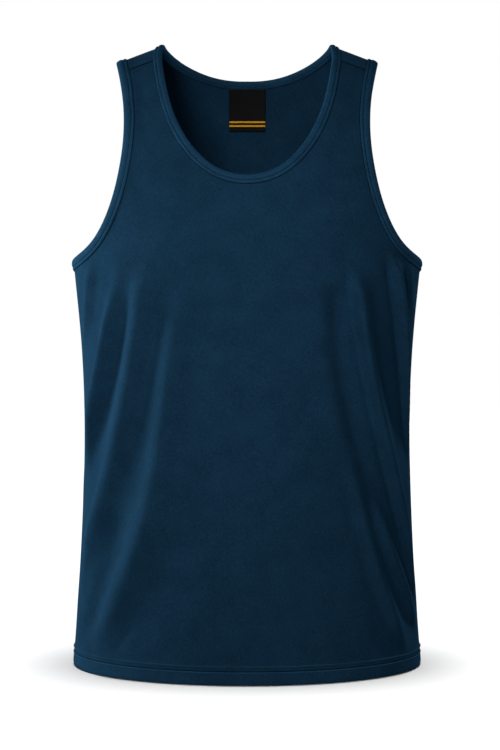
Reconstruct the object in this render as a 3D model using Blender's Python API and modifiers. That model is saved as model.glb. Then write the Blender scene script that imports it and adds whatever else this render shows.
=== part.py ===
"""A running singlet, filled out as if it were worn: two knit panels, three bindings and a label.

Metres, +Z up. The front faces -Y and +X is the wearer's left. The origin lies midway between
the two shoulders, at the height where the straps are carried.

Every piece is cut from one cloth surface, so all of them follow its form and its folds. A place
on that surface is given by three lengths. across runs round the body, from the middle of the
front or of the back to the side seam. down runs along the cloth from the top of the shoulder,
minus on the front and plus on the back. lift is straight out of the cloth.
"""

import bmesh
import bpy
import numpy as np


def table(columns, *rows):
    return np.array(list(rows), dtype=[(name, float) for name in columns.split()])


# ---- Sizes ------------------------------------------------------------------------------------
WALL = 0.0012  # panel cloth
BAND_WALL = 0.0010
LABEL_WALL = 0.0010
GAP = 0.0003  # between pieces at a seam

HEM = -0.673  # height of the lower edge
CHEST = -0.240  # height where the tube of the body ends and the shoulders begin to close
SHOULDER_TOP = 0.0288  # height of the ridge at the middle
SHOULDER_SLOPE = 0.42  # fall of the ridge for each length outward
RIDGE_ROUNDING = 0.06

# Level sections of the filled garment. A squareness of 2 is an ellipse
SECTIONS = table(
    "height half_width front_depth back_depth squareness",
    (-0.673, 0.1915, 0.1340, 0.1220, 2.02),
    (-0.600, 0.1865, 0.1290, 0.1150, 2.04),
    (-0.520, 0.1820, 0.1240, 0.1070, 2.08),
    (-0.440, 0.1795, 0.1205, 0.1020, 2.12),
    (-0.360, 0.1805, 0.1190, 0.1040, 2.15),
    (-0.300, 0.1845, 0.1195, 0.1095, 2.15),
    (-0.240, 0.1905, 0.1210, 0.1155, 2.15),
    (-0.160, 0.1970, 0.1205, 0.1200, 2.15),
    (-0.080, 0.2015, 0.1170, 0.1200, 2.15),
    (0.040, 0.2040, 0.1120, 0.1160, 2.15),
)

# The folded edges, from the front over the shoulder to the back
NECKLINE = table(
    "across down",
    (0.0000, -0.2111),
    (0.0275, -0.2045),
    (0.0530, -0.1808),
    (0.0728, -0.1385),
    (0.0845, -0.0820),
    (0.0876, -0.0440),
    (0.0865, -0.0150),
    (0.0850, 0.0120),
    (0.0748, 0.0385),
    (0.0556, 0.0610),
    (0.0300, 0.0770),
    (0.0000, 0.0824),
)
ARMHOLE_DROP = 0.2790  # down, at the side seam
ARMHOLE = table(
    "across down",
    (0.2100, -0.2762),
    (0.1770, -0.2635),
    (0.1512, -0.2335),
    (0.1347, -0.1900),
    (0.1275, -0.1420),
    (0.1289, -0.1000),
    (0.1350, -0.0550),
    (0.1408, 0.0000),
    (0.1390, 0.0500),
    (0.1358, 0.1000),
    (0.1365, 0.1500),
    (0.1430, 0.1950),
    (0.1600, 0.2390),
    (0.1860, 0.2655),
    (0.2150, 0.2768),
)
SHOULDER_SEAM = -0.0535  # down: the seam lies forward of the ridge

BAND_WIDTH = 0.0115
BAND_LIFT = WALL / 2 + GAP + BAND_WALL / 2
RAW_EDGE = 0.0018  # from the band's folded edge to the panel's raw edge inside it
# The middle of the band's cloth in section: outside, round the fold, and inside
BAND_SECTION = table(
    "inset lift",
    (BAND_WIDTH, BAND_LIFT),
    (0.0018, BAND_LIFT),
    (0.0006, BAND_LIFT / 2),
    (0.0006, -BAND_LIFT / 2),
    (0.0018, -BAND_LIFT),
    (BAND_WIDTH, -BAND_LIFT),
)

HEM_WIDTH = 0.020
HEM_LIFT = WALL + GAP  # from the hem's outer layer to its inner one
HEM_TURN = 0.0006  # height that the cloth takes to turn under

LABEL_WIDTH = 0.042
LABEL_HEIGHT = 0.045  # of its fall, measured straight down
LABEL_LIFT = -(WALL / 2 + GAP + LABEL_WALL / 2)

# Soft folds that hang from the chest and the shoulder blades: a ridge each, or a trough where the
# height is minus. Each runs from one place to another and fades at both ends
FOLDS = table(
    "across down end_across end_down width height",
    (-0.1120, -0.285, -0.2400, -0.610, 0.013, 0.0045),
    (-0.1520, -0.280, -0.2150, -0.450, 0.012, 0.0035),
    (-0.0700, -0.300, -0.1830, -0.715, 0.022, 0.0050),
    (0.1180, -0.285, 0.2260, -0.620, 0.013, 0.0045),
    (0.1580, -0.278, 0.2220, -0.450, 0.012, 0.0035),
    (0.0800, -0.290, 0.1180, -0.540, 0.018, -0.0040),
    (0.1000, -0.430, 0.1900, -0.715, 0.020, 0.0045),
    (-0.1350, 0.285, -0.2250, 0.600, 0.014, 0.0045),
    (0.1250, 0.280, 0.2300, 0.560, 0.013, 0.0045),
    (-0.0700, 0.300, -0.1350, 0.690, 0.020, 0.0045),
    (0.0850, 0.330, 0.1600, 0.700, 0.022, 0.0050),
)
FOLD_FADE = 1.5  # above 1, a fold grows more slowly from its ends

# Columns and rows of the grids that the panels are made on, for half a panel
NECK_COLUMNS = 6
STRAP_COLUMNS = 4
ARMPIT_COLUMNS = 12
BODY_ROWS = 20
STRAP_ROWS = 10
BACK_STRAP_ROWS = 12
# Places on each edge where a strap's grid meets the body's
FRONT_NECK_CORNER = -0.166
FRONT_ARM_CORNER = -0.205
BACK_NECK_CORNER = 0.062
BACK_ARM_CORNER = 0.205
# Steps that the curves, the ring and the walk into the cloth are worked out in
CURVE_STEPS = 1200
QUARTER_STEPS = 2880
INSET_STEPS = 6
SLOPE_REACH = 0.0001
WELD = 1e-6

NAVY = (0.0090, 0.0330, 0.0700)
NAVY_BAND = (0.0100, 0.0360, 0.0740)
BLACK = (0.0100, 0.0100, 0.0110)


# ---- Curves and the cloth surface -------------------------------------------------------------
def spline(places, values, at):
    """Values on the natural cubic curve through the given places."""
    step = np.diff(places)
    slope = np.diff(values) / step
    bends = np.eye(len(places))
    for row in range(1, len(places) - 1):
        bends[row, row - 1 : row + 2] = step[row - 1], 2 * (step[row - 1] + step[row]), step[row]
    bend = np.linalg.solve(bends, np.concatenate([[0], 6 * np.diff(slope), [0]]))
    i = np.clip(np.searchsorted(places, at) - 1, 0, len(step) - 1)
    after = (at - places[i]) / step[i]
    before = 1 - after
    curve = (before**3 - before) * bend[i] + (after**3 - after) * bend[i + 1]
    return before * values[i] + after * values[i + 1] + step[i] ** 2 / 6 * curve


def section(column, height):
    heights = SECTIONS["height"]
    return spline(heights, SECTIONS[column], np.clip(height, heights[0], heights[-1]))


def superellipse(turn, squareness):
    sine, cosine = np.sin(turn), np.cos(turn)
    power = 2 / squareness
    return np.sign(sine) * np.abs(sine) ** power, np.sign(cosine) * np.abs(cosine) ** power


def length_along(*coordinates):
    return np.concatenate([[0], np.cumsum(np.sqrt(sum(np.diff(c) ** 2 for c in coordinates)))])


def chest_lengths():
    """Lengths round a quarter of the chest, and from it up to the ridge, at each angle of QUARTER."""
    width, depth = section("half_width", CHEST), section("front_depth", CHEST)
    ring_x, ring_y = superellipse(QUARTER, section("squareness", CHEST))
    ring = length_along(width * ring_x, depth * ring_y)
    return ring, length_along(depth * np.cos(QUARTER), CHEST * np.sin(QUARTER))


QUARTER = np.linspace(0, np.pi / 2, QUARTER_STEPS + 1)
RING_LENGTH, DOME_LENGTH = chest_lengths()
SIDE = RING_LENGTH[-1]  # across, at the side seam
CHEST_DOWN = DOME_LENGTH[-1]
HEM_DOWN = CHEST_DOWN + CHEST - HEM
ACROSS, DOWN = 0, 1  # the columns of a list of places


def ridge(x):
    return SHOULDER_TOP - SHOULDER_SLOPE * (np.hypot(x, RIDGE_ROUNDING) - RIDGE_ROUNDING)


def body(across, down):
    """The smooth body that the garment is filled out on."""
    far = np.abs(down)
    in_tube = far > CHEST_DOWN
    rise = np.where(in_tube, 0, np.interp(CHEST_DOWN - far, DOME_LENGTH, QUARTER))
    height = np.where(in_tube, CHEST - (far - CHEST_DOWN), CHEST * (1 - np.sin(rise)))
    beyond_side = (np.abs(across) - SIDE) / section("front_depth", CHEST)
    turn = np.interp(np.abs(across), RING_LENGTH, QUARTER) + np.maximum(beyond_side, 0)
    ring_x, ring_y = superellipse(turn, section("squareness", height))
    depth = np.where(down < 0, section("front_depth", height), section("back_depth", height))
    x = section("half_width", height) * ring_x * np.sign(across)
    y = depth * ring_y * np.cos(rise) * np.sign(down)
    z = np.where(in_tube, height, CHEST + (ridge(x) - CHEST) * np.sin(rise))
    return np.stack([x, y, z], axis=-1)


def slopes(surface, across, down):
    """How the surface's point moves for each length across and down."""
    by_across = surface(across + SLOPE_REACH, down) - surface(across - SLOPE_REACH, down)
    by_down = surface(across, down + SLOPE_REACH) - surface(across, down - SLOPE_REACH)
    return by_across / (2 * SLOPE_REACH), by_down / (2 * SLOPE_REACH)


def normal(surface, across, down):
    out = np.cross(*slopes(surface, across, down))
    return out / np.linalg.norm(out, axis=-1, keepdims=True)


def fold_height(across, down):
    """How far the folds lift the cloth. A fold runs on over the side seam, onto the other face."""
    total = np.zeros(np.shape(across))
    for fold in FOLDS:
        here = np.sign(down) == np.sign(fold["down"])
        aside = np.where(here, across, np.sign(across) * 2 * SIDE - across) - fold["across"]
        along = np.where(here, down, -down) - fold["down"]
        run_across, run_down = fold["end_across"] - fold["across"], fold["end_down"] - fold["down"]
        length = np.hypot(run_across, run_down)
        part = np.clip((aside * run_across + along * run_down) / length**2, 0, 1)
        distance = (aside * run_down - along * run_across) / length
        shape = np.sin(np.pi * part) ** FOLD_FADE * np.exp(-((distance / fold["width"]) ** 2))
        total += fold["height"] * shape
    return total


def folded(across, down):
    return body(across, down) + fold_height(across, down)[..., None] * normal(body, across, down)


def cloth(across, down, lift=0.0):
    lift = np.broadcast_to(lift, np.shape(across))[..., None]
    return folded(across, down) + lift * normal(folded, across, down)


# ---- Edges ------------------------------------------------------------------------------------
def mirrored(place, axis):
    return np.array([2 * axis - place[ACROSS], place[DOWN]])


def outline(rows, axis):
    """A fine curve through the rows, level where its two ends meet the line across = axis."""
    places = np.stack([rows["across"], rows["down"]], axis=1)
    places = np.concatenate([[mirrored(places[1], axis)], places, [mirrored(places[-2], axis)]])
    length = length_along(places[:, ACROSS], places[:, DOWN])
    fine = np.linspace(length[1], length[-2], CURVE_STEPS + 1)
    return np.stack([spline(length, places[:, column], fine) for column in (ACROSS, DOWN)], axis=1)


def stations(curve, downs, counts):
    """Places along a curve, evenly spaced between its start, the given lengths down, and its end."""
    length = length_along(*body(curve[:, ACROSS], curve[:, DOWN]).T)
    stops = np.concatenate([[0], np.interp(downs, curve[:, DOWN], length), length[-1:]])
    spread = [np.linspace(a, b, n, endpoint=False) for a, b, n in zip(stops[:-1], stops[1:], counts)]
    spread = np.concatenate([*spread, stops[-1:]])
    return np.stack([np.interp(spread, length, column) for column in curve.T], axis=1)


def inset(places, distance, hand):
    """Places moved into the cloth, which lies to the right of the way along them where hand is 1."""
    before, after = np.roll(places, 1, axis=0), np.roll(places, -1, axis=0)
    before[0], after[-1] = mirrored(places[1], places[0, ACROSS]), mirrored(places[-2], places[-1, ACROSS])
    ahead = body(after[:, ACROSS], after[:, DOWN]) - body(before[:, ACROSS], before[:, DOWN])
    moved = places.copy()
    for _ in range(INSET_STEPS):
        by_across, by_down = slopes(body, moved[:, ACROSS], moved[:, DOWN])
        inward = hand * np.cross(ahead, np.cross(by_across, by_down))
        inward *= distance / INSET_STEPS / np.linalg.norm(inward, axis=1, keepdims=True)
        frames = np.stack([by_across, by_down], axis=2)
        moved += (np.linalg.pinv(frames) @ inward[:, :, None])[:, :, 0]
    moved[[0, -1], ACROSS] = places[[0, -1], ACROSS]
    return moved


neck_stops = (FRONT_NECK_CORNER, SHOULDER_SEAM, BACK_NECK_CORNER)
neck_counts = (NECK_COLUMNS, STRAP_ROWS, BACK_STRAP_ROWS, NECK_COLUMNS)
NECK = stations(outline(NECKLINE, 0), neck_stops, neck_counts)
ARMPITS = np.array([(SIDE, -ARMHOLE_DROP), (SIDE, ARMHOLE_DROP)], dtype=ARMHOLE.dtype)
arm_curve = outline(np.concatenate([ARMPITS[:1], ARMHOLE, ARMPITS[1:]]), SIDE)
arm_stops = (FRONT_ARM_CORNER, SHOULDER_SEAM, BACK_ARM_CORNER)
arm_counts = (ARMPIT_COLUMNS, STRAP_ROWS, BACK_STRAP_ROWS, ARMPIT_COLUMNS)
ARM = stations(arm_curve, arm_stops, arm_counts)
NECK_HAND, ARM_HAND = 1, -1


# ---- Grids and meshes -------------------------------------------------------------------------
def between(start, end, count):
    return start + (end - start) * np.linspace(0, 1, count + 1)[:, None]


def fill(left, right, bottom, top):
    """A grid of places between four edges: left and right run upward, bottom and top run across."""
    u = np.linspace(0, 1, len(bottom))[None, :, None]
    v = np.linspace(0, 1, len(left))[:, None, None]
    sides = (1 - u) * left[:, None] + u * right[:, None]
    ends = (1 - v) * bottom[None] + v * top[None]
    corners = (1 - v) * ((1 - u) * bottom[0] + u * bottom[-1]) + v * ((1 - u) * top[0] + u * top[-1])
    return sides + ends - corners


def add_grid(mesh, places, side, hand, lift=0.0, turned=False):
    """Faces over a grid of places. side -1 mirrors them and hand -1 makes them face the other way.

    turned cuts each of them along its other diagonal.
    """
    points = cloth(side * places[..., ACROSS], places[..., DOWN], lift)
    rows = [[mesh.verts.new(point) for point in row] for row in points]
    for low, high in zip(rows[:-1], rows[1:]):
        for i in range(len(low) - 1):
            corners = [low[i], low[i + 1], high[i + 1], high[i]]
            if turned:
                corners = corners[1:] + corners[:1]
            mesh.faces.new(corners if side * hand > 0 else [corners[0], *corners[:0:-1]])


def make_piece(name, mesh, wall, colour, roughness):
    """The object of an open surface, given its wall."""
    bmesh.ops.remove_doubles(mesh, verts=mesh.verts, dist=WELD)
    data = bpy.data.meshes.new(name)
    mesh.to_mesh(data)
    mesh.free()
    data.shade_smooth()
    piece = bpy.data.objects.new(name, data)
    garment.objects.link(piece)
    # The same cut of every face keeps the walls that lie on each other parallel
    cut = piece.modifiers.new("Same cut", "TRIANGULATE")
    cut.quad_method = "FIXED"
    solid = piece.modifiers.new("Wall", "SOLIDIFY")
    solid.thickness = wall
    solid.offset = 0
    solid.use_even_offset = True
    material = bpy.data.materials.new(name)
    material.use_nodes = True
    shader = material.node_tree.nodes["Principled BSDF"]
    shader.inputs["Base Color"].default_value = (*colour, 1)
    shader.inputs["Roughness"].default_value = roughness
    material.diffuse_color = (*colour, 1)
    data.materials.append(material)
    return piece


# ---- Pieces -----------------------------------------------------------------------------------
def make_panel(name, face, neck_way, arm_way):
    """A panel. Each way picks an edge's stations, from the middle or the armpit to the shoulder seam."""
    neck_line, neck_raw = (inset(NECK, width, NECK_HAND)[neck_way] for width in (BAND_WIDTH, RAW_EDGE))
    arm_line, arm_raw = (inset(ARM, width, ARM_HAND)[arm_way] for width in (BAND_WIDTH, RAW_EDGE))
    for edge in (neck_line, neck_raw, arm_line, arm_raw):
        edge[-1, DOWN] += face * GAP / 2
    for edge in (arm_line, arm_raw):
        edge[0, ACROSS] -= GAP / 2

    neck_corner, arm_corner = neck_line[NECK_COLUMNS], arm_line[ARMPIT_COLUMNS]
    strap_foot = between(neck_corner, arm_corner, STRAP_COLUMNS)
    strap_top = between(neck_line[-1], arm_line[-1], STRAP_COLUMNS)
    strap = fill(neck_line[NECK_COLUMNS:], arm_line[ARMPIT_COLUMNS:], strap_foot, strap_top)

    top = np.concatenate([neck_line[:NECK_COLUMNS], strap_foot, arm_line[ARMPIT_COLUMNS - 1 :: -1]])
    hem_fold = face * (HEM_DOWN - HEM_TURN)
    hem = between(np.array([0, hem_fold]), np.array([top[-1, ACROSS], hem_fold]), len(top) - 1)
    left, right = between(hem[0], top[0], BODY_ROWS), between(hem[-1], top[-1], BODY_ROWS)
    hem_rows = np.stack([hem, hem, hem, hem])
    hem_rows[0, :, DOWN] = face * (HEM_DOWN - HEM_WIDTH)
    hem_rows[2, :, DOWN] = face * HEM_DOWN
    hem_lift = np.array([-HEM_LIFT, -HEM_LIFT, -HEM_LIFT / 2, 0])[:, None]

    mesh = bmesh.new()
    for side in (1, -1):
        add_grid(mesh, fill(left, right, hem, top), side, -face)
        add_grid(mesh, hem_rows, side, -face, hem_lift)
        add_grid(mesh, strap, side, -face)
        add_grid(mesh, np.stack([neck_line, neck_raw]), side, -face)
        add_grid(mesh, np.stack([arm_line, arm_raw]), side, face)
    return make_piece(name, mesh, WALL, NAVY, 0.55)


def make_band(name, edge, hand, sides):
    mesh = bmesh.new()
    lines = [inset(edge, place["inset"], hand) for place in BAND_SECTION]
    for side in sides:
        for i, (here, there) in enumerate(zip(BAND_SECTION, BAND_SECTION[1:])):
            lifts = np.array([here["lift"], there["lift"]])[:, None]
            add_grid(mesh, np.stack(lines[i : i + 2]), side, hand, lifts, turned=there["lift"] < 0)
    make_piece(name, mesh, BAND_WALL, NAVY_BAND, 0.5)


def make_label(panel):
    """The label is cut from the back panel's own faces, moved inward."""
    mesh = bmesh.new()
    mesh.from_mesh(panel.data)
    bmesh.ops.triangulate(mesh, faces=mesh.faces, quad_method="FIXED")
    band_foot = inset(NECK, BAND_WIDTH + 2 * GAP, NECK_HAND)[-1]
    top = cloth(*band_foot)[2]
    edges = (
        ((LABEL_WIDTH / 2, 0, 0), (1, 0, 0)),
        ((-LABEL_WIDTH / 2, 0, 0), (-1, 0, 0)),
        ((0, 0, top), (0, 0, 1)),
        ((0, 0, top - LABEL_HEIGHT), (0, 0, -1)),
    )
    for place, outward in edges:
        everything = [*mesh.verts, *mesh.edges, *mesh.faces]
        bmesh.ops.bisect_plane(mesh, geom=everything, plane_co=place, plane_no=outward, clear_outer=True)
    mesh.normal_update()
    for vert in mesh.verts:
        vert.co += vert.normal * LABEL_LIFT
    make_piece("neck_label", mesh, LABEL_WALL, BLACK, 0.6)


for old in list(bpy.data.objects):
    bpy.data.objects.remove(old)
garment = bpy.data.collections.new("running_singlet")
bpy.context.scene.collection.children.link(garment)

neck_seam, arm_seam = NECK_COLUMNS + STRAP_ROWS, ARMPIT_COLUMNS + STRAP_ROWS
make_panel("front_panel", -1, slice(None, neck_seam + 1), slice(None, arm_seam + 1))
back = make_panel("back_panel", 1, slice(None, neck_seam - 1, -1), slice(None, arm_seam - 1, -1))
make_band("neck_band", NECK, NECK_HAND, (1, -1))
make_band("armhole_band_left", ARM, ARM_HAND, (1,))
make_band("armhole_band_right", ARM, ARM_HAND, (-1,))
make_label(back)
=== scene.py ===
"""The looks of a running singlet: cloth shells, bindings, stitches, label, floor, light, camera.

Metres, +Z up, the front faces -Y and +X is the wearer's left. Every piece is cut from one cloth
surface, which is the solids' own but for its folds. A place on it is given by across, round the
body from the middle of the front or back to the side seam, and down, along the cloth from the top
of the shoulder, minus on the front and plus on the back. lift is straight out of the cloth.
"""

import bpy
import numpy as np
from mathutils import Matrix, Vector


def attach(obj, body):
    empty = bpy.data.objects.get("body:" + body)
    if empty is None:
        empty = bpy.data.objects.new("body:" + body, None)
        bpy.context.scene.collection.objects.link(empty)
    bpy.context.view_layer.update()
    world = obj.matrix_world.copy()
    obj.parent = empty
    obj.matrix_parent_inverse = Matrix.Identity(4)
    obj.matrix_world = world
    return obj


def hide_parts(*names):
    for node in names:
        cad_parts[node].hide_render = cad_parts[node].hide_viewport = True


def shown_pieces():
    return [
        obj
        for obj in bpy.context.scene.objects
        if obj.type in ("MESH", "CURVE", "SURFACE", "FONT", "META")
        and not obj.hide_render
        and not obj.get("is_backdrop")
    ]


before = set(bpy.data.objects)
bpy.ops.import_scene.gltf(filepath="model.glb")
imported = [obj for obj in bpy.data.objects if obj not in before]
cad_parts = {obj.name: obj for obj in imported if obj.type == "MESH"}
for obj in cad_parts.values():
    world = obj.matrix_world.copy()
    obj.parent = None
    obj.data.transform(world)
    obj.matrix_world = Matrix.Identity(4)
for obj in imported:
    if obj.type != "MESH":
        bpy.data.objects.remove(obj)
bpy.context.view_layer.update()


def table(columns, *rows):
    return np.array(list(rows), dtype=[(name, float) for name in columns.split()])


# ---- Sizes -------------------------------------------------------------------------------------
# The body, the armholes and the seams are as in the solids. The neckline follows the photo, up to
# 2 mm from the solids' one
HEM = -0.673
CHEST = -0.240
SHOULDER_TOP = 0.0288
SHOULDER_SLOPE = 0.42
RIDGE_ROUNDING = 0.06
SECTIONS = table(
    "height half_width front_depth back_depth squareness",
    (-0.673, 0.1915, 0.1340, 0.1220, 2.02),
    (-0.600, 0.1865, 0.1290, 0.1150, 2.04),
    (-0.520, 0.1820, 0.1240, 0.1070, 2.08),
    (-0.440, 0.1795, 0.1205, 0.1020, 2.12),
    (-0.360, 0.1805, 0.1190, 0.1040, 2.15),
    (-0.300, 0.1845, 0.1195, 0.1095, 2.15),
    (-0.240, 0.1905, 0.1210, 0.1155, 2.15),
    (-0.160, 0.1970, 0.1205, 0.1200, 2.15),
    (-0.080, 0.2015, 0.1170, 0.1200, 2.15),
    (0.040, 0.2040, 0.1120, 0.1160, 2.15),
)
NECKLINE = table(
    "across down",
    (0.0000, -0.2093),
    (0.0275, -0.2026),
    (0.0525, -0.1795),
    (0.0728, -0.1385),
    (0.0845, -0.0820),
    (0.0876, -0.0440),
    (0.0865, -0.0150),
    (0.0850, 0.0120),
    (0.0748, 0.0385),
    (0.0556, 0.0610),
    (0.0300, 0.0770),
    (0.0000, 0.0824),
)
ARMHOLE_DROP = 0.2790
ARMHOLE = table(
    "across down",
    (0.2100, -0.2762),
    (0.1770, -0.2635),
    (0.1512, -0.2335),
    (0.1347, -0.1900),
    (0.1275, -0.1420),
    (0.1289, -0.1000),
    (0.1350, -0.0550),
    (0.1408, 0.0000),
    (0.1390, 0.0500),
    (0.1358, 0.1000),
    (0.1365, 0.1500),
    (0.1430, 0.1950),
    (0.1600, 0.2390),
    (0.1860, 0.2655),
    (0.2150, 0.2768),
)
SHOULDER_SEAM = -0.0535
FRONT_NECK_CORNER, FRONT_ARM_CORNER = -0.166, -0.205
BACK_NECK_CORNER, BACK_ARM_CORNER = 0.062, 0.205
# Steps along a curve, round a quarter turn and of a move into the cloth, and the reach of a slope
CURVE_STEPS, QUARTER_STEPS, INSET_STEPS = 2400, 5760, 6
SLOPE_REACH = 0.0002

# Folds. top and foot are where a fold starts and ends, down the cloth, and its crest runs through
# four places across, at even steps from top to foot. inner and outer are its widths on the side
# toward the middle and toward the side seam. rise and fall are the shares of its length over which
# it starts and ends. A fold of minus height is a trough
FOLDS = table(
    "top foot across_1 across_2 across_3 across_4 inner outer height rise fall",
    # front, on the wearer's right
    (-0.285, -0.680, -0.1060, -0.1350, -0.1780, -0.2430, 0.0150, 0.0145, 0.0127, 0.12, 0.30),
    (-0.283, -0.560, -0.1335, -0.1660, -0.2030, -0.2430, 0.0130, 0.0100, 0.0150, 0.28, 0.40),
    (-0.295, -0.705, -0.0650, -0.0893, -0.1170, -0.1760, 0.0190, 0.0165, 0.0120, 0.22, 0.15),
    (-0.530, -0.705, -0.1430, -0.1590, -0.1780, -0.1990, 0.0180, 0.0140, -0.0055, 0.30, 0.20),
    (-0.300, -0.540, -0.1360, -0.1540, -0.1810, -0.2120, 0.0120, 0.0090, -0.0035, 0.25, 0.35),
    (-0.284, -0.400, -0.1800, -0.1910, -0.2090, -0.2280, 0.0090, 0.0090, 0.0060, 0.20, 0.50),
    (-0.660, -0.702, -0.1200, -0.1300, -0.1400, -0.1500, 0.0050, 0.0050, -0.0012, 0.40, 0.30),
    # front, on the wearer's left
    (-0.290, -0.680, 0.1115, 0.1425, 0.1865, 0.2340, 0.0044, 0.0160, 0.0150, 0.10, 0.20),
    (-0.275, -0.520, 0.1590, 0.1855, 0.2070, 0.2230, 0.0050, 0.0110, 0.0165, 0.12, 0.30),
    (-0.295, -0.560, 0.0960, 0.1045, 0.1270, 0.1600, 0.0140, 0.0170, -0.0085, 0.15, 0.35),
    (-0.480, -0.712, 0.1120, 0.1310, 0.1570, 0.1910, 0.0070, 0.0120, 0.0090, 0.30, 0.22),
    (-0.530, -0.695, 0.1450, 0.1650, 0.1930, 0.2260, 0.0065, 0.0100, 0.0105, 0.25, 0.20),
    (-0.284, -0.375, 0.1900, 0.2060, 0.2220, 0.2380, 0.0060, 0.0070, 0.0030, 0.20, 0.50),
    (-0.655, -0.702, 0.1360, 0.1450, 0.1540, 0.1640, 0.0050, 0.0050, -0.0012, 0.40, 0.30),
    # straps
    (-0.060, -0.130, -0.1250, -0.1160, -0.1070, -0.0980, 0.0050, 0.0060, -0.0016, 0.30, 0.40),
    (-0.105, -0.175, -0.1200, -0.1120, -0.1030, -0.0940, 0.0060, 0.0070, -0.0014, 0.35, 0.40),
    (-0.060, -0.125, 0.1240, 0.1150, 0.1060, 0.0970, 0.0050, 0.0060, -0.0012, 0.30, 0.40),
    (-0.105, -0.170, 0.1190, 0.1110, 0.1020, 0.0930, 0.0060, 0.0070, -0.0010, 0.35, 0.40),
    # back
    (0.285, 0.620, -0.1180, -0.1460, -0.1850, -0.2320, 0.0160, 0.0120, 0.0110, 0.15, 0.25),
    (0.280, 0.505, -0.1500, -0.1760, -0.2120, -0.2450, 0.0120, 0.0110, 0.0080, 0.15, 0.40),
    (0.310, 0.695, -0.0700, -0.0900, -0.1200, -0.1650, 0.0200, 0.0160, 0.0100, 0.30, 0.15),
    (0.560, 0.700, -0.1300, -0.1450, -0.1670, -0.1930, 0.0090, 0.0100, 0.0040, 0.30, 0.20),
    (0.280, 0.600, 0.1120, 0.1370, 0.1720, 0.2200, 0.0140, 0.0130, 0.0105, 0.15, 0.30),
    (0.275, 0.520, 0.1560, 0.1800, 0.2130, 0.2450, 0.0120, 0.0110, 0.0080, 0.15, 0.40),
    (0.330, 0.700, 0.0780, 0.0980, 0.1260, 0.1680, 0.0200, 0.0170, 0.0095, 0.30, 0.15),
    (0.380, 0.660, 0.0080, 0.0100, 0.0170, 0.0300, 0.0260, 0.0260, 0.0025, 0.40, 0.40),
    (0.110, 0.230, -0.1050, -0.1130, -0.1220, -0.1330, 0.0100, 0.0100, 0.0012, 0.40, 0.40),
    (0.105, 0.220, 0.1050, 0.1130, 0.1230, 0.1340, 0.0100, 0.0100, 0.0012, 0.40, 0.40),
)
CREST_PARTS = np.array([0, 1 / 3, 2 / 3, 1])
CREST_REACH = 0.01  # how far each way a crest's lean is read, as a part of its length
FOLD_SINK = 0.3  # a fold sinks into a hollow of this share of its height and twice its width
# From NEAR_SIDE to the side seam the folds lift the cloth ever less sideways and more to the front
# or back, so that the outline stays even. SIDE_HASTE makes this complete before the seam
NEAR_SIDE, SIDE_HASTE = 0.185, 1.8
SIDE_WAY = np.array([-0.85, 1.0, 0])

PANEL_WALL = 0.0009
BAND_WALL = 0.0007
LABEL_WALL = 0.0005

# Grids: columns and rows for half a panel, and the extra lines close to a seam
NECK_COLUMNS, STRAP_COLUMNS, ARMPIT_COLUMNS = 24, 22, 70
BODY_ROWS = 120
STRAP_ROWS, BACK_STRAP_ROWS = 60, 76
SEAM_STEPS = np.array([0.0006, 0.0013, 0.0022])
SEAM_DIP, SEAM_REACH = 0.0012, 0.0008
SEAM_GAP = 0.0001
WELDS = 1e7  # per metre: points of one piece that agree this closely are welded
# As a share of the way to the side, where a panel's columns turn from even steps to the armhole's
EVEN_UP_TO, EVEN_FADE = 0.93, 0.05

# Band, in section from the edge of its outer face round the fold to the edge of its inner face
BAND_WIDTH = 0.0115
PANEL_EDGE = (BAND_WIDTH - 0.0012, 0.0090, 0.0060, 0.0035, 0.0018)  # a panel's rows under a band
BAND_SECTION = table(
    "inset lift",
    (0.01165, 0.00010),
    (0.01158, 0.00080),
    (0.01130, 0.00135),
    (0.01080, 0.00165),
    (0.01010, 0.00180),
    (0.00940, 0.00175),
    (0.00890, 0.00150),
    (0.00855, 0.00105),
    (0.00830, 0.00070),
    (0.00805, 0.00105),
    (0.00765, 0.00165),
    (0.00700, 0.00205),
    (0.00600, 0.00225),
    (0.00450, 0.00230),
    (0.00300, 0.00205),
    (0.00170, 0.00165),
    (0.00080, 0.00115),
    (0.00022, 0.00055),
    (0.00005, 0.00000),
    (0.00022, -0.00055),
    (0.00080, -0.00110),
    (0.00180, -0.00145),
    (0.00350, -0.00165),
    (0.00550, -0.00160),
    (0.00720, -0.00145),
    (0.00820, -0.00115),
    (0.00900, -0.00140),
    (0.01020, -0.00140),
    (0.01110, -0.00120),
    (0.01150, -0.00095),
    (0.01160, -0.00060),
)
BAND_STEP = 0.0016
STITCHED_INSET = 0.0083  # of the inner needle row in the section above
NECK_STRIP, ARM_STRIP = 0.0060, 0.0083  # widths from the fold to that row
# Sewing on a band: inset and lift of each row, and the pitch, length and radius of its stitches.
# The first and third rows overlap into unbroken dark lines, painted shade along the band's edge and
# in its groove
BAND_ROWS = table(
    "inset lift pitch length radius",
    (0.01200, 0.00045, 0.0012, 0.00150, 0.00050),
    (0.00830, 0.00105, 0.0029, 0.00160, 0.00064),
    (0.00830, 0.00090, 0.0012, 0.00150, 0.00034),
    (0.01000, -0.00180, 0.0021, 0.00140, 0.00038),
    (0.00820, -0.00155, 0.0021, 0.00140, 0.00038),
)

# Sewing on the hem: height of each row above the edge, and the rest as on a band. The light rows
# are thread in painted highlight; the dark row overlaps into an unbroken line, painted shade in the
# hem's groove
HEM_HIGHLIGHT_ROWS = table(
    "height lift pitch length radius",
    (0.01900, 0.00105, 0.0029, 0.00120, 0.00055),
    (0.01290, 0.00085, 0.0029, 0.00120, 0.00048),
)
HEM_SHADE_ROWS = table(
    "height lift pitch length radius",
    (0.01400, 0.00020, 0.0012, 0.00150, 0.00045),
)
HEM_ROW_PLACES = 400
HEM_ROW_END = 0.001  # the rows stop this far from the side seams
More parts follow.
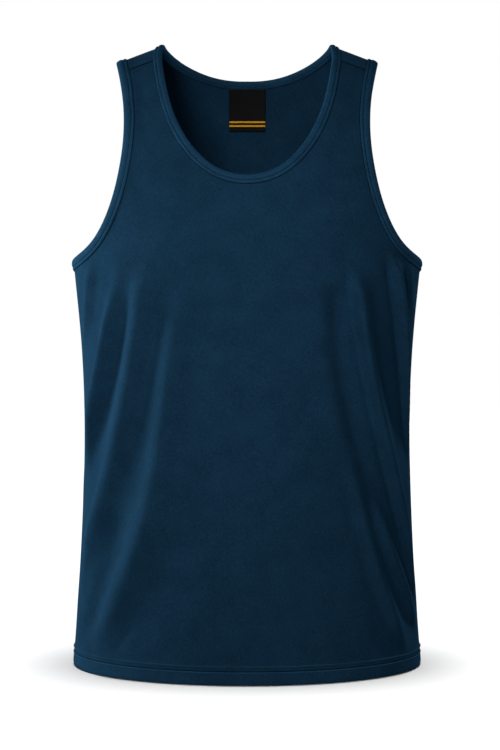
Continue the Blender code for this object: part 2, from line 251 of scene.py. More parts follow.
# The hem in section: heights above the edge, and lifts of its outer layer
HEM_SECTION = table(
    "height lift",
    (0.0300, 0.00000),
    (0.0250, 0.00000),
    (0.0225, 0.00010),
    (0.0210, 0.00030),
    (0.0200, 0.00048),
    (0.0190, 0.00055),
    (0.0180, 0.00050),
    (0.0168, 0.00042),
    (0.0156, 0.00040),
    (0.0148, 0.00030),
    (0.0143, 0.00000),
    (0.0139, -0.00035),
    (0.0135, 0.00000),
    (0.0129, 0.00030),
    (0.0118, 0.00042),
    (0.0100, 0.00048),
    (0.0080, 0.00050),
    (0.0050, 0.00045),
    (0.0028, 0.00035),
    (0.0013, 0.00010),
    (0.0004, -0.00030),
    (0.0000, -0.00080),
    (0.0004, -0.00130),
    (0.0015, -0.00170),
    (0.0060, -0.00180),
    (0.0130, -0.00180),
    (0.0190, -0.00170),
    (0.0200, -0.00120),
)

# The shoulder seam's stitches overlap into an unbroken dark line, painted shade along the seam
SEAM_ROW = dict(pitch=0.0012, length=0.0015, radius=0.00045)
SEAM_ROW_PLACES, SEAM_ROW_LIFT = 40, 0.0003


# ---- Curves and the cloth surface --------------------------------------------------------------
def spline(places, values, at):
    """Values on the natural cubic curve through the given places."""
    step = np.diff(places)
    slope = np.diff(values) / step
    bends = np.eye(len(places))
    for row in range(1, len(places) - 1):
        bends[row, row - 1 : row + 2] = step[row - 1], 2 * (step[row - 1] + step[row]), step[row]
    bend = np.linalg.solve(bends, np.concatenate([[0], 6 * np.diff(slope), [0]]))
    i = np.clip(np.searchsorted(places, at) - 1, 0, len(step) - 1)
    after = (at - places[i]) / step[i]
    before = 1 - after
    curve = (before**3 - before) * bend[i] + (after**3 - after) * bend[i + 1]
    return before * values[i] + after * values[i + 1] + step[i] ** 2 / 6 * curve


def section(column, height):
    heights = SECTIONS["height"]
    return spline(heights, SECTIONS[column], np.clip(height, heights[0], heights[-1]))


def superellipse(turn, squareness):
    sine, cosine = np.sin(turn), np.cos(turn)
    power = 2 / squareness
    return np.sign(sine) * np.abs(sine) ** power, np.sign(cosine) * np.abs(cosine) ** power


def length_along(*coordinates):
    return np.concatenate([[0], np.cumsum(np.sqrt(sum(np.diff(c) ** 2 for c in coordinates)))])


def chest_lengths():
    """Lengths round a quarter of the chest and from it up to the ridge, at each QUARTER angle."""
    width, depth = section("half_width", CHEST), section("front_depth", CHEST)
    ring_x, ring_y = superellipse(QUARTER, section("squareness", CHEST))
    ring = length_along(width * ring_x, depth * ring_y)
    return ring, length_along(depth * np.cos(QUARTER), CHEST * np.sin(QUARTER))


QUARTER = np.linspace(0, np.pi / 2, QUARTER_STEPS + 1)
RING_LENGTH, DOME_LENGTH = chest_lengths()
SIDE = RING_LENGTH[-1]
CHEST_DOWN = DOME_LENGTH[-1]
HEM_DOWN = CHEST_DOWN + CHEST - HEM
ACROSS, DOWN = 0, 1


def ridge(x):
    return SHOULDER_TOP - SHOULDER_SLOPE * (np.hypot(x, RIDGE_ROUNDING) - RIDGE_ROUNDING)


def body(across, down):
    """The smooth body that the garment is filled out on."""
    far = np.abs(down)
    in_tube = far > CHEST_DOWN
    rise = np.where(in_tube, 0, np.interp(CHEST_DOWN - far, DOME_LENGTH, QUARTER))
    height = np.where(in_tube, CHEST - (far - CHEST_DOWN), CHEST * (1 - np.sin(rise)))
    beyond_side = (np.abs(across) - SIDE) / section("front_depth", CHEST)
    turn = np.interp(np.abs(across), RING_LENGTH, QUARTER) + np.maximum(beyond_side, 0)
    ring_x, ring_y = superellipse(turn, section("squareness", height))
    depth = np.where(down < 0, section("front_depth", height), section("back_depth", height))
    x = section("half_width", height) * ring_x * np.sign(across)
    y = depth * ring_y * np.cos(rise) * np.sign(down)
    z = np.where(in_tube, height, CHEST + (ridge(x) - CHEST) * np.sin(rise))
    return np.stack([x, y, z], axis=-1)


def slopes(surface, across, down):
    by_across = surface(across + SLOPE_REACH, down) - surface(across - SLOPE_REACH, down)
    by_down = surface(across, down + SLOPE_REACH) - surface(across, down - SLOPE_REACH)
    return by_across / (2 * SLOPE_REACH), by_down / (2 * SLOPE_REACH)


def normal(surface, across, down):
    out = np.cross(*slopes(surface, across, down))
    return out / np.linalg.norm(out, axis=-1, keepdims=True)


def smooth(share):
    share = np.clip(share, 0, 1)
    return share * share * (3 - 2 * share)


def crest(fold, part):
    """Where across a fold's crest lies at a part of its length, and how far it leans there."""
    places = np.array([fold[f"across_{i}"] for i in (1, 2, 3, 4)])
    steps = (-CREST_REACH, CREST_REACH)
    before, after = (spline(CREST_PARTS, places, part + step) for step in steps)
    lean = (after - before) / (2 * CREST_REACH * (fold["foot"] - fold["top"]))
    return (before + after) / 2, lean


def fold_height(across, down):
    """How far the folds lift the cloth. They run on over the side seam, onto the other face."""
    total = np.zeros(np.shape(across))
    for fold in FOLDS:
        same_face = np.sign(down) == np.sign(fold["top"])
        outward = np.sign(fold["across_1"])
        place = np.where(same_face, across, outward * 2 * SIDE - across)
        part = (np.where(same_face, down, -down) - fold["top"]) / (fold["foot"] - fold["top"])
        middle, lean = crest(fold, part)
        distance = (place - middle) / np.hypot(1, lean) * outward
        width = np.where(distance > 0, fold["outer"], fold["inner"])
        ends = smooth(part / fold["rise"]) * smooth((1 - part) / fold["fall"])
        ridge_line, hollow = (np.exp(-((distance / width / times) ** 2)) for times in (1, 2))
        total += fold["height"] * ends * (ridge_line - FOLD_SINK * hollow)
    return total


def folded(across, down):
    beyond = (np.abs(across) - NEAR_SIDE) / (SIDE - NEAR_SIDE)
    way = normal(body, across, down) * (1 + smooth(beyond * SIDE_HASTE)[..., None] * SIDE_WAY)
    return body(across, down) + fold_height(across, down)[..., None] * way


def cloth(across, down, lift=0.0):
    lift = np.broadcast_to(lift, np.shape(across))[..., None]
    return folded(across, down) + lift * normal(folded, across, down)


# ---- Edges -------------------------------------------------------------------------------------
def mirrored(place, axis):
    return np.array([2 * axis - place[ACROSS], place[DOWN]])


def outline(rows, axis):
    """A fine curve through the rows, level where its two ends meet the line across = axis."""
    places = np.stack([rows["across"], rows["down"]], axis=1)
    places = np.concatenate([[mirrored(places[1], axis)], places, [mirrored(places[-2], axis)]])
    length = length_along(places[:, ACROSS], places[:, DOWN])
    fine = np.linspace(length[1], length[-2], CURVE_STEPS + 1)
    return np.stack([spline(length, places[:, column], fine) for column in (ACROSS, DOWN)], axis=1)


def curve_length(curve):
    return length_along(*body(curve[:, ACROSS], curve[:, DOWN]).T)


def at_lengths(curve, lengths):
    return np.stack([np.interp(lengths, curve_length(curve), column) for column in curve.T], axis=1)


def stations(curve, downs, counts, seams):
    """Places along a curve, closer together next to a seam, and the index of each stop."""
    length = curve_length(curve)
    stops = np.concatenate([[0], np.interp(downs, curve[:, DOWN], length), length[-1:]])
    found, marks = [], [0]
    for i, count in enumerate(counts):
        start, end = stops[i], stops[i + 1]
        near = start + SEAM_STEPS if seams[i] else start + SEAM_STEPS[:0]
        far = end - SEAM_STEPS[::-1] if seams[i + 1] else end + SEAM_STEPS[:0]
        first = near[-1] if seams[i] else start
        last = far[0] if seams[i + 1] else end
        middle = np.linspace(first, last, count + 1)[1:-1]
        found += [start, *near, *middle, *far]
        marks.append(len(found))
    return at_lengths(curve, np.array([*found, stops[-1]])), marks


def inset(places, distance, hand):
    """Places moved into the cloth, which lies to the right of the way along where hand is 1."""
    before, after = np.roll(places, 1, axis=0), np.roll(places, -1, axis=0)
    before[0] = mirrored(places[1], places[0, ACROSS])
    after[-1] = mirrored(places[-2], places[-1, ACROSS])
    ahead = body(after[:, ACROSS], after[:, DOWN]) - body(before[:, ACROSS], before[:, DOWN])
    moved = places.copy()
    for _ in range(INSET_STEPS):
        by_across, by_down = slopes(body, moved[:, ACROSS], moved[:, DOWN])
        inward = hand * np.cross(ahead, np.cross(by_across, by_down))
        inward *= distance / INSET_STEPS / np.linalg.norm(inward, axis=1, keepdims=True)
        frames = np.stack([by_across, by_down], axis=2)
        moved += (np.linalg.pinv(frames) @ inward[:, :, None])[:, :, 0]
    moved[[0, -1], ACROSS] = places[[0, -1], ACROSS]
    return moved


ARMPITS = np.array([(SIDE, -ARMHOLE_DROP), (SIDE, ARMHOLE_DROP)], dtype=ARMHOLE.dtype)
neck_curve = outline(NECKLINE, 0)
arm_curve = outline(np.concatenate([ARMPITS[:1], ARMHOLE, ARMPITS[1:]]), SIDE)
neck_stops = (FRONT_NECK_CORNER, SHOULDER_SEAM, BACK_NECK_CORNER)
arm_stops = (FRONT_ARM_CORNER, SHOULDER_SEAM, BACK_ARM_CORNER)
neck_counts = (NECK_COLUMNS, STRAP_ROWS, BACK_STRAP_ROWS, NECK_COLUMNS)
arm_counts = (ARMPIT_COLUMNS, STRAP_ROWS, BACK_STRAP_ROWS, ARMPIT_COLUMNS)
NECK, NECK_MARKS = stations(neck_curve, neck_stops, neck_counts, (0, 0, 1, 0, 0))
ARM, ARM_MARKS = stations(arm_curve, arm_stops, arm_counts, (1, 0, 1, 0, 1))
NECK_HAND, ARM_HAND = 1, -1


def on_band(depth, strip):
    """An inset of the band section, on a band whose strip up to the needle row is this wide."""
    within, beyond = depth * strip / STITCHED_INSET, depth - STITCHED_INSET + strip
    return np.where(depth < STITCHED_INSET, within, beyond)


# ---- Meshes ------------------------------------------------------------------------------------
def between(start, end, count):
    return start + (end - start) * np.linspace(0, 1, count + 1)[:, None]


def fill(left, right, bottom, top, share=None):
    """A grid of places between four edges: left and right run upward, bottom and top run across.

    share is how far across each column lies. The columns are evenly spaced without it.
    """
    if share is None:
        share = np.linspace(0, 1, len(bottom))
    u = share[None, :, None]
    v = np.linspace(0, 1, len(left))[:, None, None]
    low, high = ((1 - u) * edge[0] + u * edge[-1] for edge in (bottom, top))
    sides = (1 - u) * left[:, None] + u * right[:, None]
    ends = (1 - v) * bottom[None] + v * top[None]
    return sides + ends - ((1 - v) * low + v * high)


def seam_dip(across, down):
    """How far the cloth dips into the side seams and the shoulder seams."""
    to_seams = (SIDE - np.abs(across), down - SHOULDER_SEAM)
    at_side, at_shoulder = (np.exp(-((distance / SEAM_REACH) ** 2)) for distance in to_seams)
    return -SEAM_DIP * (at_side + at_shoulder)


def grid(places, side, hand, lift=0.0, pattern=None):
    """One block of a mesh: its places, lifts, pattern coordinates and faces."""
    rows, columns = places.shape[:2]
    lifts = np.broadcast_to(lift, (rows, columns)).reshape(-1)
    index = np.arange(rows * columns).reshape(rows, columns)
    faces = np.stack([index[:-1, :-1], index[:-1, 1:], index[1:, 1:], index[1:, :-1]], axis=-1)
    faces = faces.reshape(-1, 4)
    if side * hand < 0:
        faces = faces[:, ::-1]
    flat = (places * (side, 1)).reshape(-1, 2)
    return flat, lifts, flat if pattern is None else pattern.reshape(-1, 2), faces


def make_mesh(name, points, faces, pattern=None):
    data = bpy.data.meshes.new(name)
    data.from_pydata(points.tolist(), [], faces.tolist())
    if pattern is not None:
        corners = np.zeros(len(data.loops), np.int32)
        data.loops.foreach_get("vertex_index", corners)
        layer = data.uv_layers.new(name="Cloth")
        layer.data.foreach_set("uv", pattern[corners].astype(np.float32).ravel())
    data.shade_smooth()
    data.validate()
    piece = bpy.data.objects.new(name, data)
    bpy.context.scene.collection.objects.link(piece)
    return piece


def hem_places(across, face, height):
    """Places on the hem at a height above its edge."""
    return np.stack(np.broadcast_arrays(across, face * (HEM_DOWN - height)), axis=-1)


def sew(name, blocks, wall, material):
    """One object of several blocks, welded where they meet, with a wall."""
    places = np.concatenate([block[0] for block in blocks])
    lifts = np.concatenate([block[1] for block in blocks])
    pattern = np.concatenate([block[2] for block in blocks])
    starts = np.cumsum([0] + [len(block[0]) for block in blocks[:-1]])
    faces = np.concatenate([block[3] + start for block, start in zip(blocks, starts)])
    keys = np.round(np.column_stack([places, lifts]) * WELDS).astype(np.int64)
    _, first, welded = np.unique(keys, axis=0, return_index=True, return_inverse=True)
    faces = welded.reshape(-1)[faces]
    places, lifts, pattern = places[first], lifts[first], pattern[first]
    points = cloth(places[:, ACROSS], places[:, DOWN], lifts)
    piece = make_mesh(name, points, faces, pattern)
    solid = piece.modifiers.new("Wall", "SOLIDIFY")
    solid.thickness = wall
    solid.offset = 0
    piece.data.materials.append(material)
    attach(piece, "root")
    return piece


# ---- Materials ---------------------------------------------------------------------------------
# Painted light: every cloth and thread is made brighter on the hem, from just below its needle rows
# down, fading in over a short height
PAINTED_LIGHT_TOP, PAINTED_LIGHT_FADE, HEM_PAINTED_LIGHT = HEM + 0.0185, 0.006, 0.15
SHEEN_ROUGHNESS, SHEEN_TINT = 0.45, (0.12, 0.5, 1.0, 1)
# The knit's bump: its strength, the shares of wales and courses, and how far the courses lean
KNIT_STRENGTH, WALE_SHARE, COURSE_SHARE, COURSE_LEAN = 0.5, 0.6, 0.4, 1.6
# The change of tone: noises and their shares, and the darkest and lightest tone with their places
NOISES = table("scale detail share", (40, 3, 0.4), (550, 1, 0.6))
TONES = table("place tone", (0.3, 0.74), (0.7, 1.26))


def new_material(name, roughness, specular):
    material = bpy.data.materials.new(name)
    material.use_nodes = True
    shader = material.node_tree.nodes["Principled BSDF"]
    shader.inputs["Roughness"].default_value = roughness
    shader.inputs["Specular IOR Level"].default_value = specular
    return material, shader


def add_bump(material, shader, height, strength, depth):
    bump = material.node_tree.nodes.new("ShaderNodeBump")
    bump.inputs["Strength"].default_value = strength
    bump.inputs["Distance"].default_value = depth
    material.node_tree.links.new(height, bump.inputs["Height"])
    material.node_tree.links.new(bump.outputs[0], shader.inputs["Normal"])


def fabric(name, colour, sheen, roughness, wale, course, depth):
    """Knit: wales and courses of the given pitches as bump, a faint change of tone, and painted
    light on the hem.
    """
    material, shader = new_material(name, roughness, specular=0.0)
    nodes, links = material.node_tree.nodes, material.node_tree.links
    shader.inputs["Sheen Weight"].default_value = sheen
    shader.inputs["Sheen Roughness"].default_value = SHEEN_ROUGHNESS
    shader.inputs["Sheen Tint"].default_value = SHEEN_TINT

    def node(kind, **values):
        made = nodes.new(kind)
        for key, value in values.items():
            setattr(made, key, value)
        return made

    def math(operation, a, b=None, clamp=False):
        made = node("ShaderNodeMath", operation=operation, use_clamp=clamp)
        for socket, value in zip(made.inputs, (a, b)):
            if value is None:
                continue
            if isinstance(value, (int, float)):
                socket.default_value = value
            else:
                links.new(value, socket)
        return made.outputs[0]

    def noise(kind):
        made = node("ShaderNodeTexNoise")
        made.inputs["Scale"].default_value = kind["scale"]
        made.inputs["Detail"].default_value = kind["detail"]
        links.new(place, made.inputs["Vector"])
        return math("MULTIPLY", made.outputs[0], kind["share"])

    coordinates = node("ShaderNodeUVMap", uv_map="Cloth").outputs[0]
    split = node("ShaderNodeSeparateXYZ")
    links.new(coordinates, split.inputs[0])
    u, v = split.outputs[0], split.outputs[1]
    wales = math("SINE", math("MULTIPLY", u, 2 * np.pi / wale))
    lean = math("MULTIPLY", math("ABSOLUTE", wales), COURSE_LEAN)
    courses = math("SINE", math("ADD", math("MULTIPLY", v, 2 * np.pi / course), lean))
    wales, courses = math("MULTIPLY", wales, WALE_SHARE), math("MULTIPLY", courses, COURSE_SHARE)
    add_bump(material, shader, math("ADD", wales, courses), KNIT_STRENGTH, depth)

    place = node("ShaderNodeTexCoord").outputs["Object"]
    ramp = node("ShaderNodeValToRGB")
    for element, row in zip(ramp.color_ramp.elements, TONES):
        element.position = row["place"]
        element.color = (*(row["tone"] * c for c in colour), 1)
    links.new(math("ADD", *(noise(kind) for kind in NOISES)), ramp.inputs[0])
    height = node("ShaderNodeSeparateXYZ")
    links.new(place, height.inputs[0])
    # Painted light: the colour is made brighter on the hem, below its needle rows
    below = math("SUBTRACT", PAINTED_LIGHT_TOP, height.outputs[2])
    painted_light_share = math("DIVIDE", below, PAINTED_LIGHT_FADE, clamp=True)
    painted_light_scale = node("ShaderNodeVectorMath", operation="SCALE")
    links.new(ramp.outputs[0], painted_light_scale.inputs[0])
    links.new(math("ADD", math("MULTIPLY", painted_light_share, HEM_PAINTED_LIGHT), 1.0), painted_light_scale.inputs["Scale"])
    links.new(painted_light_scale.outputs[0], shader.inputs["Base Color"])
    material.diffuse_color = (*colour, 1)
    return material


NAVY = (0.0095, 0.0380, 0.0760)
# Painted light: the bands' knit is drawn brighter than the panels'
NAVY_BAND_PAINTED_LIGHT = (0.0125, 0.0520, 0.1030)
# Painted shade: the navy thread is made near black to stand for the shade of the grooves it lies in
SHADED_THREAD = (0.0020, 0.0090, 0.0180)
# Painted highlight: the same navy thread made bright, for the hem's stitches that catch the light
HIGHLIT_THREAD = (0.0420, 0.1350, 0.2300)
KNIT_PITCH = dict(wale=0.0008, course=0.0007, depth=0.00012)
TWIST_PITCH = dict(wale=0.0004, course=0.0004, depth=0.00005)
knit = fabric("Navy interlock", NAVY, sheen=0.08, roughness=0.5, **KNIT_PITCH)
binding = fabric("Navy binding in painted light", NAVY_BAND_PAINTED_LIGHT, sheen=0.08, roughness=0.48, **KNIT_PITCH)
shaded_thread = fabric("Navy thread in painted shade", SHADED_THREAD, sheen=0.05, roughness=0.6, **TWIST_PITCH)
highlit_thread = fabric("Navy thread in painted highlight", HIGHLIT_THREAD, sheen=0.1, roughness=0.5, **TWIST_PITCH)


# ---- Panels ------------------------------------------------------------------------------------
def make_panel(name, face, neck_way, arm_way, neck_corner, arm_corner, material):
    """A panel with its hem. Each way picks an edge's stations, from the middle or the armpit up."""
    neck_lines = [inset(NECK, on_band(row, NECK_STRIP), NECK_HAND)[neck_way] for row in PANEL_EDGE]
    arm_lines = [inset(ARM, on_band(row, ARM_STRIP), ARM_HAND)[arm_way] for row in PANEL_EDGE]
    for edge in (*neck_lines, *arm_lines):
        edge[-1, DOWN] = SHOULDER_SEAM + face * SEAM_GAP / 2
    for edge in arm_lines:
        edge[0, ACROSS] = SIDE - SEAM_GAP / 2
    neck_line, arm_line = neck_lines[0], arm_lines[0]

    strap_foot = between(neck_line[neck_corner], arm_line[arm_corner], STRAP_COLUMNS)
    strap_top = between(neck_line[-1], arm_line[-1], STRAP_COLUMNS)
    strap = fill(neck_line[neck_corner:], arm_line[arm_corner:], strap_foot, strap_top)

    top = np.concatenate([neck_line[:neck_corner], strap_foot, arm_line[arm_corner - 1 :: -1]])
    share = (top[:, ACROSS] - top[0, ACROSS]) / (top[-1, ACROSS] - top[0, ACROSS])
    even = np.linspace(0, 1, len(top))
    reach = np.clip((share - EVEN_UP_TO) / EVEN_FADE, 0, 1)
    share = even * (1 - reach) + share * reach
    foot = hem_places(share * top[-1, ACROSS], face, HEM_SECTION["height"][0])
    left, right = between(foot[0], top[0], BODY_ROWS), between(foot[-1], top[-1], BODY_ROWS)
    main = fill(left, right, foot, top, share)

    hem = hem_places(foot[None, :, ACROSS], face, HEM_SECTION["height"][:, None])
    hem_lift = HEM_SECTION["lift"][:, None]

    blocks = []
    for side in (1, -1):
        for places, hand, lift in (
            (main, -face, 0),
            (hem, face, hem_lift),
            (strap, -face, 0),
            (np.stack(neck_lines), -face, 0),
            (np.stack(arm_lines), face, 0),
        ):
            dip = seam_dip(places[..., ACROSS], places[..., DOWN])
            blocks.append(grid(places, side, hand, lift + dip))
    panel = sew(name, blocks, PANEL_WALL, material)
    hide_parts(name.replace("_cloth", ""))
    return panel


neck_seam, arm_seam = NECK_MARKS[2], ARM_MARKS[2]
front = make_panel(
    "front_panel_cloth",
    -1,
    slice(None, neck_seam + 1),
    slice(None, arm_seam + 1),
    NECK_MARKS[1],
    ARM_MARKS[1],
    knit,
)
back = make_panel(
    "back_panel_cloth",
    1,
    slice(None, neck_seam - 1, -1),
    slice(None, arm_seam - 1, -1),
    NECK_MARKS[4] - NECK_MARKS[3],
    ARM_MARKS[4] - ARM_MARKS[3],
    knit,
)


# ---- Bands -------------------------------------------------------------------------------------
def even_stations(curve, step):
    length = curve_length(curve)[-1]
    return at_lengths(curve, np.linspace(0, length, int(round(length / step)) + 1))


def make_band(name, curve, hand, strip, sides):
    edge = even_stations(curve, BAND_STEP)
    along = curve_length(edge)
    insets = on_band(BAND_SECTION["inset"], strip)
    lines = np.stack([inset(edge, width, hand) for width in insets])
    round_it = length_along(insets, BAND_SECTION["lift"])
    lifts = np.broadcast_to(BAND_SECTION["lift"][:, None], lines.shape[:2])
    pattern = np.stack(np.broadcast_arrays(round_it[:, None], along[None, :]), axis=-1)
    blocks = [grid(lines, side, hand, lifts, pattern) for side in sides]
    band = sew(name + "_cloth", blocks, BAND_WALL, binding)
    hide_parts(name)


make_band("neck_band", neck_curve, NECK_HAND, NECK_STRIP, (1, -1))
make_band("armhole_band_left", arm_curve, ARM_HAND, ARM_STRIP, (1,))
make_band("armhole_band_right", arm_curve, ARM_HAND, ARM_STRIP, (-1,))


# ---- Stitches ----------------------------------------------------------------------------------
# A stitch: places of its rings along its length, and their radii and rises in radii of the stitch
CAPSULE = table(
    "along radius rise",
    (-0.5, 0.35, -0.6),
    (-0.3, 0.95, 0.1),
    (0.0, 1.00, 0.35),
    (0.3, 0.95, 0.1),
    (0.5, 0.35, -0.6),
)
CAPSULE_SIDES = 6
# Faces that close the first and the last ring of that many sides
CAPSULE_ENDS = ((0, 5, 4, 3), (0, 3, 2, 1)), ((0, 1, 2, 3), (0, 3, 4, 5))


def capsules(centres, ways, outs, length, radius):
    """Points and faces of a small rounded stitch at each centre."""
    turns = 2 * np.pi * np.arange(CAPSULE_SIDES) / CAPSULE_SIDES
    asides = np.cross(ways, outs)
    rings = []
    for ring in CAPSULE:
        middle = centres + ways * length * ring["along"] + outs * radius * ring["rise"]
        for turn in turns:
            outward = np.cos(turn) * asides + np.sin(turn) * outs
            rings.append(middle + radius * ring["radius"] * outward)
    points = np.stack(rings, axis=1)
    n, m = len(CAPSULE), CAPSULE_SIDES
    faces = []
    for i in range(n - 1):
        for j in range(m):
            k = (j + 1) % m
            faces.append([i * m + j, i * m + k, (i + 1) * m + k, (i + 1) * m + j])
    for start, caps in zip((0, (n - 1) * m), CAPSULE_ENDS):
        faces += [[start + j for j in cap] for cap in caps]
    faces = np.array(faces)
    starts = np.arange(len(centres))[:, None, None] * (n * m)
    return points.reshape(-1, 3), (faces[None] + starts).reshape(-1, 4)


def stitch_line(places, lift, pitch):
    """Centres, ways along and outward directions of evenly spaced stitches on a line of places."""
    points = cloth(places[:, ACROSS], places[:, DOWN], lift)
    length = length_along(*points.T)
    count = int(length[-1] / pitch)
    at = (np.arange(count) + 0.5) * length[-1] / count
    spots = np.stack([np.interp(at, length, column) for column in places.T], axis=1)
    ahead = np.stack([np.interp(at + pitch / 4, length, column) for column in points.T], axis=1)
    behind = np.stack([np.interp(at - pitch / 4, length, column) for column in points.T], axis=1)
    centres = cloth(spots[:, ACROSS], spots[:, DOWN], lift)
    outs = normal(folded, spots[:, ACROSS], spots[:, DOWN])
    ways = ahead - behind
    ways /= np.linalg.norm(ways, axis=1, keepdims=True)
    return centres, ways, outs


def make_stitches(name, rows, material):
    """One object of many rows: for each its places, lift, whether it lies inside, and sizes."""
    made = []
    for places, lift, inside, row in rows:
        centres, ways, outs = stitch_line(places, lift, row["pitch"])
        outs = -outs if inside else outs
        made.append(capsules(centres, ways, outs, row["length"], row["radius"]))
    starts = np.cumsum([0] + [len(points) for points, _ in made[:-1]])
    points = np.concatenate([points for points, _ in made])
    faces = np.concatenate([faces + start for (_, faces), start in zip(made, starts)])
    piece = make_mesh(name, points, faces, np.zeros((len(points), 2)))
    piece.data.materials.append(material)
    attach(piece, "root")
    return piece


def band_rows(curve, hand, strip, sides):
    edge = even_stations(curve, BAND_STEP)
    rows = []
    for row in BAND_ROWS:
        places = inset(edge, on_band(row["inset"], strip), hand)
        rows += [(places * (side, 1), row["lift"], row["lift"] < 0, row) for side in sides]
    return rows


def seam_row(side):
    """The shoulder seam, between the neck band and an armhole band."""
    bands = ((NECK, NECK_STRIP, NECK_HAND), (ARM, ARM_STRIP, ARM_HAND))
    ends = [inset(curve, on_band(BAND_WIDTH, strip), hand) for curve, strip, hand in bands]
    start, end = (np.interp(SHOULDER_SEAM, line[:, DOWN], line[:, ACROSS]) for line in ends)
    across = np.linspace(start, end, SEAM_ROW_PLACES) * side
    down = np.full(SEAM_ROW_PLACES, SHOULDER_SEAM)
    return np.stack([across, down], axis=1), SEAM_ROW_LIFT, False, SEAM_ROW


def hem_rows(rows):
    """The given rows on the front and on the back, from side seam to side seam."""
    across = np.linspace(-SIDE + HEM_ROW_END, SIDE - HEM_ROW_END, HEM_ROW_PLACES)
    made = []
    for face in (-1, 1):
        for row in rows:
            made.append((hem_places(across, face, row["height"]), row["lift"], False, row))
    return made


for name, *band in (
    ("neck_stitches", neck_curve, NECK_HAND, NECK_STRIP, (1, -1)),
    ("armhole_stitches_left", arm_curve, ARM_HAND, ARM_STRIP, (1,)),
    ("armhole_stitches_right", arm_curve, ARM_HAND, ARM_STRIP, (-1,)),
):
    make_stitches(name, band_rows(*band), shaded_thread)
make_stitches("shoulder_stitches", [seam_row(1), seam_row(-1)], shaded_thread)
highlit_hem_thread = make_stitches("hem_highlight_stitches", hem_rows(HEM_HIGHLIGHT_ROWS), highlit_thread)
make_stitches("hem_groove_shade_stitches", hem_rows(HEM_SHADE_ROWS), shaded_thread)

# ---- Label -------------------------------------------------------------------------------------
LABEL_WIDTH, LABEL_TOP, LABEL_FOOT = 0.0400, 0.0900, 0.1366  # the last two are down the back
STRIPES = table("down height", (0.1261, 0.0019), (0.1303, 0.0019))
LABEL_LIFT = -0.0014
LABEL_ARCH = 2.2  # per metre; keeps the stripes level on the curved back
LABEL_COLUMNS, LABEL_ROWS = 43, 50
LABEL_BLACK, LABEL_AMBER = (0.0065, 0.0065, 0.0068, 1), (1.0, 0.47, 0.010, 1)
RIB_SCALE, RIB_STRENGTH, RIB_DEPTH = 40, 0.4, 0.0001


def label_material():
    material, shader = new_material("Woven label", roughness=0.6, specular=0.1)
    nodes, links = material.node_tree.nodes, material.node_tree.links
    coordinates = nodes.new("ShaderNodeUVMap")
    coordinates.uv_map = "Cloth"
    split = nodes.new("ShaderNodeSeparateXYZ")
    links.new(coordinates.outputs[0], split.inputs[0])
    ramp = nodes.new("ShaderNodeValToRGB")
    ramp.color_ramp.interpolation = "CONSTANT"
    places = [(0.0, LABEL_BLACK)]
    for stripe in STRIPES:
        middle = (stripe["down"] - LABEL_TOP) / (LABEL_FOOT - LABEL_TOP)
        half = stripe["height"] / 2 / (LABEL_FOOT - LABEL_TOP)
        places += [(middle - half, LABEL_AMBER), (middle + half, LABEL_BLACK)]
    for i, (position, colour) in enumerate(places):
        element = ramp.color_ramp.elements[i] if i < 2 else ramp.color_ramp.elements.new(position)
        element.position, element.color = position, colour
    links.new(split.outputs[1], ramp.inputs[0])
    links.new(ramp.outputs[0], shader.inputs["Base Color"])
    ribs = nodes.new("ShaderNodeTexWave")
    ribs.bands_direction = "Y"
    ribs.inputs["Scale"].default_value = RIB_SCALE
    links.new(coordinates.outputs[0], ribs.inputs["Vector"])
    add_bump(material, shader, ribs.outputs[0], RIB_STRENGTH, RIB_DEPTH)
    return material


def label_grid(left, right, top, foot):
    columns, rows = np.linspace(left, right, LABEL_COLUMNS), np.linspace(top, foot, LABEL_ROWS)
    return np.stack(np.meshgrid(columns, rows), axis=-1)


label_places = label_grid(-LABEL_WIDTH / 2, LABEL_WIDTH / 2, LABEL_TOP, LABEL_FOOT)
label_places[..., DOWN] -= LABEL_ARCH * label_places[..., ACROSS] ** 2
label_pattern = label_grid(0, 1, 0, 1)
label = sew(
    "neck_label_cloth",
    [grid(label_places, 1, -1, LABEL_LIFT, label_pattern)],
    LABEL_WALL,
    label_material(),
)
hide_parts("neck_label")

# ---- Floor, light and camera -------------------------------------------------------------------
FLOOR, FLOOR_REACH = HEM - 0.001, 12
FLOOR_PAINT = (0.95, 0.95, 0.95, 1)
SUN_POWER, SUN_ANGLE = 3.6, 22
WHITE, STUDIO_GLOW = (1, 1, 1, 1), 0.03
CAMERA_LENS, CAMERA_PLACE = 71.35, (0.0032, -1.650, -0.356)

floor_corners = np.array([(-1, -1), (1, -1), (1, 1), (-1, 1)]) * FLOOR_REACH
floor_data = bpy.data.meshes.new("floor")
floor_data.from_pydata([(*corner, FLOOR) for corner in floor_corners.tolist()], [], [(0, 1, 2, 3)])
floor = bpy.data.objects.new("floor", floor_data)
bpy.context.scene.collection.objects.link(floor)
floor_material, floor_shader = new_material("Floor", roughness=1.0, specular=0.0)
floor_shader.inputs["Base Color"].default_value = FLOOR_PAINT
floor_data.materials.append(floor_material)
floor.visible_diffuse = False
floor.visible_glossy = False
floor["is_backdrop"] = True

# Each light reaches one of these: the floor, all the pieces, all but the back panel, or that alone
on_floor = bpy.data.collections.new("lit by the floor light")
on_floor.objects.link(floor)
on_garment = bpy.data.collections.new("lit by the garment lights")
on_outside = bpy.data.collections.new("lit by the front lights")
on_back = bpy.data.collections.new("lit by the light inside")
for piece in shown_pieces():
    on_garment.objects.link(piece)
    (on_back if piece is back else on_outside).objects.link(piece)


def add_light(name, kind, place, aim, power, receivers):
    data = bpy.data.lights.new(name, kind)
    data.energy = power
    light = bpy.data.objects.new(name, data)
    bpy.context.scene.collection.objects.link(light)
    light.location = place
    light.rotation_euler = (Vector(aim) - Vector(place)).to_track_quat("-Z", "Y").to_euler()
    light.light_linking.receiver_collection = receivers
    return data


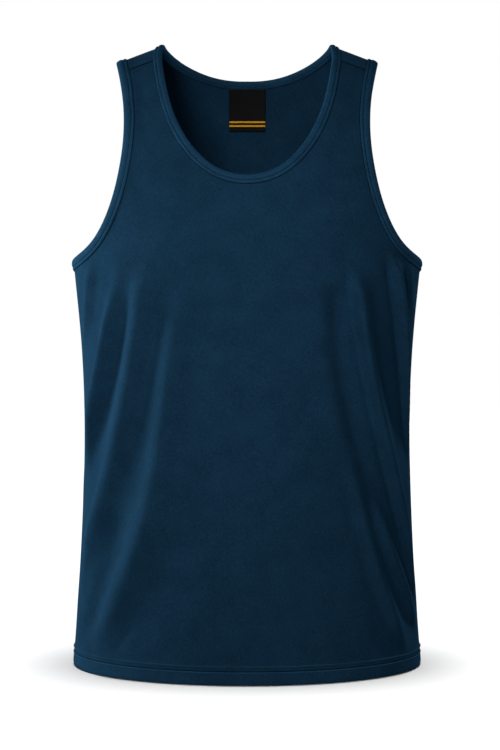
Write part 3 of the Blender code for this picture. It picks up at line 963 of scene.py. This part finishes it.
def softbox(name, azimuth, elevation, distance, size, spread, aim, power, receivers):
    """A soft light. Azimuth 0 is in front, minus is to the wearer's right, and aim is a height."""
    turn, rise = np.radians(azimuth), np.radians(elevation)
    way = np.array([np.sin(turn) * np.cos(rise), -np.cos(turn) * np.cos(rise), np.sin(rise)])
    middle = np.array([0, 0, aim])
    data = add_light(name, "AREA", middle + distance * way, middle, power, receivers)
    data.shape = "RECTANGLE"
    data.size, data.size_y = size
    data.spread = np.radians(spread)


softbox("key", -35, 5, 1.2, (0.4, 0.4), 90, -0.20, 0.68, on_outside)
softbox("front", -3, 6, 1.2, (0.3, 0.3), 110, -0.26, 2.1, on_outside)
softbox("inside", -18, 16, 1.2, (0.3, 0.3), 110, -0.10, 2.4, on_back)
softbox("inside fill", 0, 16, 1.2, (0.3, 0.3), 110, -0.10, 0.35, on_back)
softbox("side", -100, -3, 1.6, (0.5, 0.5), 70, -0.27, 4.7, on_garment)
softbox("low fill", 32, 4, 1.2, (0.3, 0.3), 28, -0.63, 0.022, on_garment)
softbox("chest", 14, 10, 1.6, (0.3, 0.3), 18, -0.12, 0.014, on_outside)
softbox("rear left", 208, 15, 2.0, (0.8, 1.2), 180, -0.20, 13, on_garment)
softbox("rear right", 160, 12, 2.4, (0.9, 0.9), 180, -0.30, 16, on_garment)
softbox("right side", 132, 0, 2.0, (0.4, 0.9), 180, -0.36, 24, on_garment)
sun = add_light("floor light", "SUN", (0, 0, 3), (0, 0, 0), SUN_POWER, on_floor)
sun.angle = np.radians(SUN_ANGLE)

# The camera sees white behind the singlet, and the white round it lights it a little
world = bpy.data.worlds.new("studio")
bpy.context.scene.world = world
world.use_nodes = True
nodes, links = world.node_tree.nodes, world.node_tree.links
seen = nodes["Background"]
seen.inputs[0].default_value = WHITE
dim = nodes.new("ShaderNodeBackground")
dim.inputs[0].default_value = WHITE
dim.inputs[1].default_value = STUDIO_GLOW
rays = nodes.new("ShaderNodeLightPath")
mix = nodes.new("ShaderNodeMixShader")
links.new(rays.outputs["Is Camera Ray"], mix.inputs[0])
links.new(dim.outputs[0], mix.inputs[1])
links.new(seen.outputs[0], mix.inputs[2])
links.new(mix.outputs[0], nodes["World Output"].inputs[0])

camera_data = bpy.data.cameras.new("camera")
camera_data.lens = CAMERA_LENS
camera = bpy.data.objects.new("camera", camera_data)
camera.location = CAMERA_PLACE
camera.rotation_euler = (np.pi / 2, 0, 0)
bpy.context.scene.collection.objects.link(camera)
bpy.context.scene.camera = camera
bpy.context.scene.view_settings.view_transform = "Standard"
